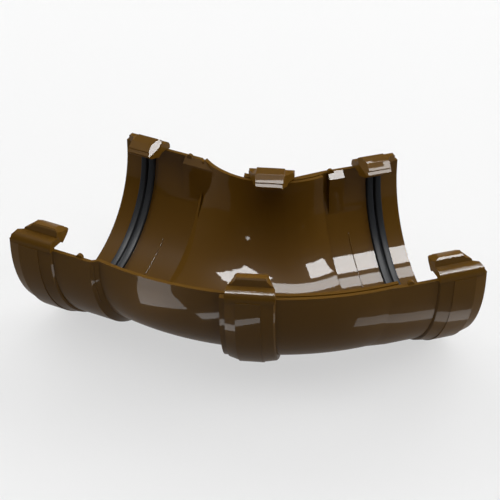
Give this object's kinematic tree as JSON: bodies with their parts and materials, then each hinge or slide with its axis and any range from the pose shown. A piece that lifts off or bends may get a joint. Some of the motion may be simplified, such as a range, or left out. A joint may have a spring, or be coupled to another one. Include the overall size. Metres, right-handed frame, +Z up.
{
  "type": "adjustable gutter corner",
  "caption": "Half-round gutter corner whose nested trough halves turn on one upright axis to set its angle, with a sealed snap-in gutter socket on each end.",
  "frame": {"origin": "middle of the part's box, on the floor that it stands on", "axes": "+Z up, +X to the outer half's side, -Y towards the outside of the corner"},
  "size_m": [0.2708, 0.1846, 0.0843],
  "materials": {
    "brown_plastic": "moulded, high gloss",
    "seal_rubber": "smooth, satin"
  },
  "bodies": {
    "outer_body": {"outer_half": "brown_plastic", "outer_socket_seal": "seal_rubber", "middle_seal": "seal_rubber"},
    "inner_body": {"inner_half": "brown_plastic", "inner_socket_seal": "seal_rubber"}
  },
  "joints": [
    {"name": "corner_turn", "type": "hinge", "parent": "outer_body", "child": "inner_body", "pos_m": [0.02097, 0.08697, 0.0743], "axis": [0, 0, -1], "range_deg": [0, 24]}
  ]
}
